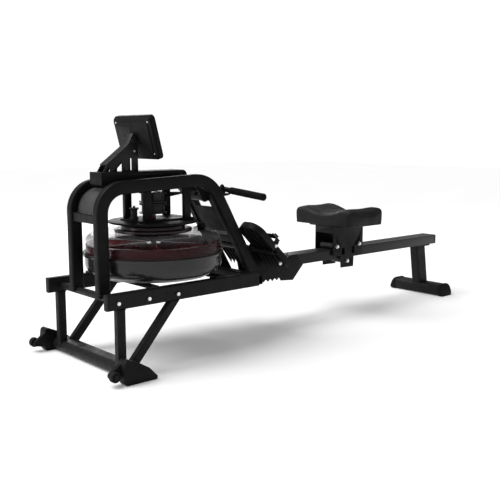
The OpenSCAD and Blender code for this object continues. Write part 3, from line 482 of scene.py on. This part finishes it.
def inflate(obj, cap, pressure=4.0, voxel=0.005, hold=None):
    """Voxel remesh, then a short cloth run with inner pressure; no point moves further than cap."""
    rm = obj.modifiers.new("remesh", "REMESH")
    rm.mode = "VOXEL"
    rm.voxel_size = voxel
    apply_modifiers(obj)
    rest = [v.co.copy() for v in obj.data.vertices]
    cloth = obj.modifiers.new("cloth", "CLOTH")
    st = cloth.settings
    st.quality = 4
    st.mass = 0.3
    st.tension_stiffness = 40
    st.compression_stiffness = 40
    st.shear_stiffness = 20
    st.bending_stiffness = 2
    st.use_pressure = True
    st.uniform_pressure_force = pressure
    st.effector_weights.gravity = 0
    if hold:
        group = obj.vertex_groups.new(name="hold")
        group.add([i for i, c in enumerate(rest) if hold(c)], 1.0, "REPLACE")
        st.vertex_group_mass = "hold"
    cloth.point_cache.frame_start = 1
    cloth.point_cache.frame_end = 20
    scene = bpy.context.scene
    for f in range(1, 21):
        scene.frame_set(f)
    dg = bpy.context.evaluated_depsgraph_get()
    ev = obj.evaluated_get(dg)
    moved = [v.co.copy() for v in ev.data.vertices]
    obj.modifiers.clear()
    scene.frame_set(1)
    for v, r, m in zip(obj.data.vertices, rest, moved):
        d = m - r
        if d.length > cap:
            d *= cap / d.length
        v.co = r + d


SEAT_X, SEAT_W, SEAT_L, SEAT_Z0 = 328.0, 326.0, 222.0, 385.0
# where the straight sides start, and the groove in the cover above that
SIDE_Z, GROOVE_Z = 393.0, 399.0


def seat_top(x, y):
    """Height of the seat's upper side: two lobes with a dip between them, scooped a little lengthwise."""
    v = y / (SEAT_W / 2)
    u = (x - SEAT_X) / (SEAT_L / 2)
    lobes = 459.0 - 23.0 * cos(pi / 2 * min(1.0, abs(v) * 1.12)) ** 2
    lobes -= 5.0 * max(0.0, abs(v) - 0.72) ** 2 / 0.078
    scoop = -4.5 * cos(pi / 2 * u) ** 2 * (1 - 0.3 * abs(v))
    notch = -7.0 * math.exp(-(v / 0.2) ** 2) * max(0.0, u - 0.45) / 0.55
    nose = -3.5 * max(0.0, -u - 0.55) / 0.45
    return lobes + scoop + notch + nose


def seat_outline(inset):
    pts = []
    r = max(19.0 - inset, 4.0)
    hx, hy = SEAT_L / 2 - inset, SEAT_W / 2 - inset
    raw = []
    for cx, cy, a0 in ((1, 1, 0), (-1, 1, 90), (-1, -1, 180), (1, -1, 270)):
        for k in range(9):
            a = rad(a0 + 90 * k / 8)
            raw.append((cx * (hx - r) + r * cos(a), cy * (hy - r) + r * sin(a)))
    # even spacing round the edge
    n = 140
    raw.append(raw[0])
    cum = [0.0]
    for p, q in zip(raw, raw[1:]):
        cum.append(cum[-1] + math.hypot(q[0] - p[0], q[1] - p[1]))
    for i in range(n):
        s = cum[-1] * i / n
        j = max(k for k in range(len(cum) - 1) if cum[k] <= s + 1e-9)
        t = (s - cum[j]) / max(cum[j + 1] - cum[j], 1e-9)
        pts.append((raw[j][0] + (raw[j + 1][0] - raw[j][0]) * t, raw[j][1] + (raw[j + 1][1] - raw[j][1]) * t))
    return pts


def seat_cushion():
    b = Build()
    rings = []

    def ring(inset, z_of):
        pts = seat_outline(inset)
        # a slight waist in the long sides
        return [(SEAT_X + x * (1 - 0.035 * cos(pi * y / SEAT_W)), y, z_of(SEAT_X + x, y)) for x, y in pts]

    for inset, z in ((70, SEAT_Z0 + 0.3), (30, SEAT_Z0 + 0.3), (9, SEAT_Z0 + 0.4), (4.0, SEAT_Z0 + 1.3),
                     (2.8, SEAT_Z0 + 4), (2.5, SIDE_Z)):
        rings.append(ring(inset, lambda x, y, z=z: z))
    side_top = 16.0
    for k in (0.25, 0.5, 0.75, 1.0):
        rings.append(ring(2.5 - 1.5 * sin(k * pi / 2),
                          lambda x, y, k=k: SIDE_Z + (seat_top(x, y) - side_top - SIDE_Z) * k))
    for a in (15, 30, 45, 60, 75, 90):
        s = rad(a)
        rings.append(ring(1.0 + 14.0 * (1 - cos(s)),
                          lambda x, y, s=s: seat_top(x, y) - side_top * (1 - sin(s))))
    for inset in (24, 34, 46, 58, 70, 82, 94, 101):
        rings.append(ring(inset, lambda x, y: seat_top(x, y)))
    b.rings(rings)
    obj = b.done("seat_cushion", "cushion", None)
    inflate(obj, cap=0.004, voxel=0.0045, hold=lambda c: c.z < 0.3875)
    # pressed-in groove round the base of the cover
    for v in obj.data.vertices:
        x, y, z = v.co / MM
        edge = min(SEAT_L / 2 - abs(x - SEAT_X), SEAT_W / 2 - abs(y))
        if z < 440 and edge < 20:
            depth = 1.3 * math.exp(-((z - GROOVE_Z) / 1.8) ** 2)
            c = Vector((SEAT_X, 0, z))
            d = (c - Vector((x, y * 0.6, z))).normalized()
            v.co += d * depth * MM
    sub = obj.modifiers.new("sub", "SUBSURF")
    sub.levels = sub.render_levels = 1
    sm = obj.modifiers.new("smooth", "SMOOTH")
    sm.factor = 0.5
    sm.iterations = 3
    for p in obj.data.polygons:
        p.use_smooth = True
    if not obj.data.materials:
        obj.data.materials.append(M["cushion"])
    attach(obj, "seat")
    return obj


cushion = seat_cushion()
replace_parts(cushion, "seat_pad")


# ---------------------------------------------------------------- handle
HX, HZ, DROOP = -326.0, 566.0, 4.5


def grips():
    b = Build()
    for s in (-1, 1):
        d = Vector((0, s * cos(rad(DROOP)), -sin(rad(DROOP))))
        o = Vector((HX, 0, HZ))
        prof = [(10.15, 49.5), (12.0, 49.2), (12.9, 50.2), (13.1, 52.5)]
        for k in range(17):
            h = 56 + k * 10.2
            prof.append((13.0 + 0.25 * sin(pi * k / 16), h))
        prof += [(12.7, 222.0), (12.1, 222.8), (12.1, 224.0), (13.0, 224.6), (13.3, 226.0), (13.3, 229.0),
                 (12.5, 231.4), (10.0, 232.7), (4.0, 233.0), (0.05, 233.0)]
        b.lathe(prof, o, d, seg=40)
    return b.done("grip_foam", "foam", "handle")


grip = grips()
sharp_by_angle(grip, 55)
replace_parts(grip, "handle_grips")


def ribbon(b, path, width, thick, across, turn=None):
    """Flat band with slightly rolled edges along path (points), lying square to across."""
    rings, uvs = [], []
    n = len(path)
    s = 0.0
    prof = [(-0.5, -0.32), (-0.47, -0.5), (0.47, -0.5), (0.5, -0.32), (0.5, 0.32), (0.47, 0.5), (-0.47, 0.5),
            (-0.5, 0.32)]
    for i, p in enumerate(path):
        p = Vector(p)
        q0, q1 = Vector(path[max(i - 1, 0)]), Vector(path[min(i + 1, n - 1)])
        t = (q1 - q0).normalized()
        ac = Vector(across)
        if turn:
            ac = Matrix.Rotation(turn(i / (n - 1)), 3, t) @ ac
        ac = (ac - t * ac.dot(t)).normalized()
        nor = t.cross(ac)
        if i:
            s += (p - Vector(path[i - 1])).length
        for a, c in prof:
            rings.append(p + ac * a * width + nor * c * thick)
            uvs.append((a * width * MM, s * MM))
    k = len(prof)
    b.rings([rings[i * k:(i + 1) * k] for i in range(n)], uvs=uvs)


WIND_R, DRUM_TOP, ROLLER_TOP, SHACKLE_Z = 39.9, 552, 562.1, 566.0
ROLLER_X, SHACKLE_X = -442.0, -341


def pull_webbing():
    """From the spool, a quarter twist, over the roller and on to the shackle."""
    b = Build()
    path = []
    for a in range(-150, 1, 15):
        path.append((TANK_X + WIND_R * sin(rad(a)), WIND_R * cos(rad(a)), DRUM_TOP))
    n_arc = len(path)
    x0, x1 = TANK_X, ROLLER_X
    steps = 18
    for k in range(1, steps + 1):
        t = k / steps
        e = t * t * (3 - 2 * t)
        path.append((x0 + (x1 - x0) * t, WIND_R * (1 - e), DRUM_TOP + (ROLLER_TOP - DRUM_TOP) * e))
    for x in (-430, -415, -395, -375, -355, SHACKLE_X):
        t = (x - ROLLER_X) / (SHACKLE_X - ROLLER_X)
        path.append((x, 0, ROLLER_TOP + (SHACKLE_Z - ROLLER_TOP) * t))
    total = len(path) - 1

    def turn(t):
        i = t * total
        k = min(1.0, max(0.0, (i - n_arc + 1) / steps))
        return rad(90) * (k * k * (3 - 2 * k))

    ribbon(b, path, 22, 1.5, (0, 0, 1), turn)
    obj = b.done("pull_webbing", "webbing", None, uv=True)
    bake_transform(obj)
    return obj


strap = pull_webbing()
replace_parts(strap, "handle_strap")


# ---------------------------------------------------------------- foot straps
TILT = rad(44)
PEDAL = Vector((-300, 0, 444))
PEDAL_Y, STRAP_AT = 112, 127


def pedal_point(x, y, z, side):
    return Vector((PEDAL.x + x * cos(TILT) + z * sin(TILT), side * PEDAL_Y + y,
                   PEDAL.z - x * sin(TILT) + z * cos(TILT)))


def foot_webbing():
    b = Build()
    for side in (-1, 1):
        path = []
        for y, z in ((-49, -12), (-49.2, -4), (-49.3, 4), (-48.8, 11)):
            path.append((y, z))
        for a in range(180, 89, -10):
            path.append((-26 + 22.6 * cos(rad(a)), 16 + 22.6 * sin(rad(a))))
        for k in range(1, 8):
            t = k / 8
            path.append((-26 + 52 * t, 38.6 + 1.2 * sin(pi * t)))
        for a in range(90, -1, -10):
            path.append((26 + 22.6 * cos(rad(a)), 16 + 22.6 * sin(rad(a))))
        for y, z in ((48.8, 11), (49.3, 4), (49.2, -4), (49, -12)):
            path.append((y, z))
        pts = [pedal_point(STRAP_AT, y, z, side) for y, z in path]
        across = Vector((cos(TILT), 0, -sin(TILT)))
        ribbon(b, pts, 25, 1.7, across)
        # loose end that comes back over the top from the buckle
        tail = [(26, 41.0), (16, 42.2), (6, 43.0), (-6, 43.6), (-16, 42.6), (-24, 44.5), (-30, 49.0)]
        pts = [pedal_point(STRAP_AT, -side * y, z, side) for y, z in tail]
        ribbon(b, pts, 24, 1.6, across)
    return b.done("foot_webbing", "webbing", "frame", uv=True)


webbing = foot_webbing()
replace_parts(webbing, "foot_straps")


def foot_buckles():
    b = Build()
    rot = Matrix.Rotation(TILT, 3, "Y")
    for side in (-1, 1):
        # ladder buckle: two side bars and three cross bars
        for dx in (-15.0, 15.0):
            b.box((3.2, 26, 4.2), pedal_point(STRAP_AT + dx, side * 30, 39.5, side),
                  rot @ Matrix.Rotation(rad(-side * 24), 3, "X"), 1.4)
        for k, (dy, dz) in enumerate(((18.5, 44.2), (30, 40.0), (41, 34.5))):
            b.box((33, 3.6, 3.6), pedal_point(STRAP_AT, side * dy, dz, side), rot, 1.5)
    obj = b.done("foot_buckles", "buckle", "frame")
    sharp_by_angle(obj, 60)
    return obj


buckles = foot_buckles()


# ---------------------------------------------------------------- water
def water_body():
    b = Build()
    prof = [(22.2, 294.6), (190, 294.6)]
    prof += [(201.5 + 34 * cos(rad(a)), 330.5 + 34 * sin(rad(a))) for a in range(-80, 1, 10)]
    prof += [(235.4, 350), (235.4, 392), (234.0, 394.2), (228, 395.0), (214, 395.3), (203, 394.6),
             (201.2, 392), (201.2, 354), (198, 351.6), (22.2, 351.6)]
    seg = 72
    rings = []
    for r, z in prof:
        ripple = 0.5 if 393 < z < 396 else 0
        turns = [2 * pi * i / seg for i in range(seg)]
        rings.append([(TANK_X + r * cos(a), r * sin(a), z + ripple * sin(5 * a + r * 0.1)) for a in turns])
    b.rings(rings, caps=False, loop=True)
    obj = b.done("water_body", "tank_water", "frame")
    sharp_by_angle(obj, 50)
    return obj


water = water_body()
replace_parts(water, "water")


# ---------------------------------------------------------------- welds, screws, bosses
def weld_loop(b, pts, r=2.0):
    """A rippled bead along a closed line of points."""
    n = len(pts)
    rings = []
    for i, p in enumerate(pts):
        p = Vector(p)
        t = (Vector(pts[(i + 1) % n]) - Vector(pts[i - 1])).normalized()
        u = t.orthogonal().normalized()
        w = t.cross(u)
        rr = r * (1 + 0.16 * sin(i * 2.1))
        rings.append([p + (u * cos(k * pi / 4) + w * sin(k * pi / 4)) * rr for k in range(8)])
    b.rings(rings, loop=True, caps=False)


def rect_loop(cx, cy, z, w, d, r, step=3.0):
    """Points round a rounded rectangle in a level plane."""
    pts = rounded(w, d, r, 6)
    out = []
    for (x0, y0), (x1, y1) in zip(pts, pts[1:] + pts[:1]):
        k = max(1, int(math.hypot(x1 - x0, y1 - y0) / step))
        out += [(cx + x0 + (x1 - x0) * i / k, cy + y0 + (y1 - y0) * i / k, z) for i in range(k)]
    return out


def welds():
    b = Build()
    for s in (-1, 1):
        weld_loop(b, rect_loop(-910.5, s * 194.5, 221.6, 31.5, 25.5, 5), 1.8)
        # foot of the upright, over the rounded stabiliser
        loop = []
        for x, y, z in rect_loop(-910.5, s * 194.5, 0, 32, 26, 5):
            dx = abs(x + 888)
            top = 23.5 + (20.5 if dx < 16 else 1.5 + math.sqrt(max(0.0, 19 ** 2 - (dx - 16) ** 2)))
            loop.append((x, y, top))
        weld_loop(b, loop, 2.0)
        # crossbar into the lower rails
        ring = [(HOOP_X + 13.2 * cos(rad(a)), s * 180.2, 244 + 13.2 * sin(rad(a))) for a in range(0, 360, 12)]
        weld_loop(b, ring, 1.5)
        # hoop feet on the crossbar
        weld_loop(b, rect_loop(HOOP_X, s * HOOP_Y, 254.5, 45.5, 31, 7), 1.6)
        # spine to hoop tabs
        for x in (-790, -548):
            weld_loop(b, rect_loop(x, s * 55, 611.0, 25, 0.5 + 29, 2), 1.2)
    return b.done("weld_beads", "weld", "frame")


welds()


def hex_head(b, centre, axis, r, h):
    """Hexagon head with a washer face."""
    ax = Vector(axis).normalized()
    u = ax.orthogonal().normalized()
    w = ax.cross(u)
    o = Vector(centre)
    rings = []
    levels = ((1.22, 0.0), (1.22, 0.16), (1.14, 0.2), (1.0, 0.2), (1.0, 0.86), (0.86, 1.0), (0.3, 1.0))
    for k, (rr, hh) in enumerate(levels):
        ring = []
        for i in range(24):
            a = 2 * pi * i / 24
            q = rr * r
            if k >= 3:
                q *= cos(pi / 6) / cos(a % (pi / 3) - pi / 6)
            ring.append(o + (u * cos(a) + w * sin(a)) * q + ax * hh * h)
        rings.append(ring)
    b.rings(rings)


def carriage_bolts():
    b = Build()
    for dx, z in ((-72, 294.3), (72, 294.3), (-6, 226.2)):
        for s in (-1, 1):
            hex_head(b, (CARRIAGE_X + dx, s * 54.1, z), (0, s, 0), 7.2, 6.2)
    obj = b.done("carriage_bolts", "bright_bolts", "seat")
    sharp_by_angle(obj, 35)
    return obj


carriage_bolts()


def pedal_bolts():
    """Bolt that anchors the foot strap and the one through the outer rib at the heel."""
    b = Build()
    for s in (-1, 1):
        hex_head(b, pedal_point(128, s * 58.0, 0, s), (0, s, 0), 5.2, 4.0)
        hex_head(b, pedal_point(204, s * 43.5, -27, s), (0, s, 0), 6.0, 5.0)
    obj = b.done("pedal_bolts", "bright_bolts", "frame")
    sharp_by_angle(obj, 35)
    return obj


pedal_bolts()


def case_details():
    """Screws and battery lid in the back of the monitor, and the display glass."""
    rot = Matrix.Rotation(rad(MONITOR_TILT), 3, "Y")
    c = Vector((MONITOR_X, 0, MONITOR_Z))

    def at(x, y, z):
        return c + rot @ Vector((x, y, z))

    b = Build()
    for y in (-96, 96):
        for z in (-54, 54):
            b.lathe([(0.05, 0.0), (3.4, 0.0), (3.4, 0.8), (2.8, 1.3), (0.05, 1.4)], at(-9.0, y, z),
                    rot @ Vector((-1, 0, 0)), 24)
    screws = b.done("case_screws", "bearing_steel", "monitor")
    sharp_by_angle(screws, 40)
    b = Build()
    # raised battery lid with its finger ridge, and vent ribs
    b.box((1.6, 74, 44), at(-13.2, 44, 20), rot, 0.7)
    for k in range(3):
        b.box((1.2, 24, 1.6), at(-14.3, 44, 6 + k * 3.4), rot, 0.5)
    for k in range(6):
        b.box((1.0, 46, 2.0), at(-13.3, -46, 36 - k * 5.0), rot, 0.45)
    lid = b.done("case_lid", "cap_black", "monitor")
    sharp_by_angle(lid, 40)
    b = Build()
    b.box((0.5, 156, 72), at(12.85, 0, 16), rot, 0.2)
    glass = b.done("display_glass", "screen", "monitor", smooth=False)


case_details()


# ---------------------------------------------------------------- rounding of CAD nodes
ROUNDED = (
    ("hanging_posts", 1.5), ("spine_beam", 0.8), ("rail_bracket", 0.8), ("mounting_plate", 1.2),
    ("footplates", 0.8), ("monitor_case", 1.5), ("monitor_bezel", 0.6), ("seat_carriage", 1.0),
    ("front_foot_caps", 1.6), ("rear_foot_caps", 1.6), ("tube_end_caps", 3.0), ("handle_cradle", 1.0),
    ("console_bracket", 0.5), ("tank_plug", 1.0), ("hub_cover", 1.5), ("strap_drum", 0.5),
    ("slide_rail", 0.6), ("tank_supports", 0.8), ("heel_slider_left", 0.8), ("heel_slider_right", 0.8),
    ("transport_wheel_left", 0.8), ("transport_wheel_right", 0.8), ("rear_cross_member", 0.5),
    ("tank_base_ring", 0.8))
for name, width in ROUNDED:
    soften(name, width)


# ---------------------------------------------------------------- floor, light, camera
floor_mesh = bpy.data.meshes.new("floor")
floor_mesh.from_pydata([(-14, -14, 0), (14, -14, 0), (14, 14, 0), (-14, 14, 0)], [], [(0, 1, 2, 3)])
floor = bpy.data.objects.new("floor", floor_mesh)
bpy.context.scene.collection.objects.link(floor)
floor_mesh.materials.append(surface("floor_paint", (0.92, 0.92, 0.92), rough=0.85, vary=0.006, vary_scale=0.8,
                                    grain=40, bump=0.02))

scene = bpy.context.scene
world = bpy.data.worlds.new("studio")
scene.world = world
world.use_nodes = True
wn, wl = world.node_tree.nodes, world.node_tree.links
sky = wn["Background"]
sky.inputs["Color"].default_value = (1, 1, 1, 1)
path = wn.new("ShaderNodeLightPath")
level = wn.new("ShaderNodeMapRange")
level.inputs["To Min"].default_value = 0.32
level.inputs["To Max"].default_value = 1.05
wl.new(path.outputs["Is Camera Ray"], level.inputs["Value"])
wl.new(level.outputs["Result"], sky.inputs["Strength"])


def lamp(name, loc, target, size, power):
    data = bpy.data.lights.new(name, "AREA")
    data.shape = "DISK"
    data.size = size
    data.energy = power
    obj = bpy.data.objects.new(name, data)
    obj.location = loc
    obj.rotation_euler = (Vector(target) - Vector(loc)).to_track_quat("-Z", "Y").to_euler()
    scene.collection.objects.link(obj)


sun_data = bpy.data.lights.new("sun", "SUN")
sun_data.energy = 2.8
sun_data.angle = rad(50)
sun = bpy.data.objects.new("sun", sun_data)
sun.rotation_euler = Vector((0.45, -0.25, -1.0)).to_track_quat("-Z", "Y").to_euler()
scene.collection.objects.link(sun)
lamp("front", (-4.2, 1.2, 1.7), (-0.4, 0, 0.4), 2.2, 55)
lamp("back", (1.6, 3.6, 1.9), (0, 0, 0.4), 2.4, 40)

FOCAL_PX, FRAME_PX = 767.9, 500.0
cam = bpy.data.cameras.new("camera")
cam.sensor_width = 36.0
cam.lens = FOCAL_PX * 36.0 / FRAME_PX
camera = bpy.data.objects.new("camera", cam)
camera.location = (-2.174, -2.239, 0.769)
camera.rotation_euler = Vector((0.6562, 0.7398, -0.1488)).to_track_quat("-Z", "Y").to_euler()
scene.collection.objects.link(camera)
scene.camera = camera
scene.view_settings.view_transform = "Standard"
scene.view_settings.exposure = 0.0
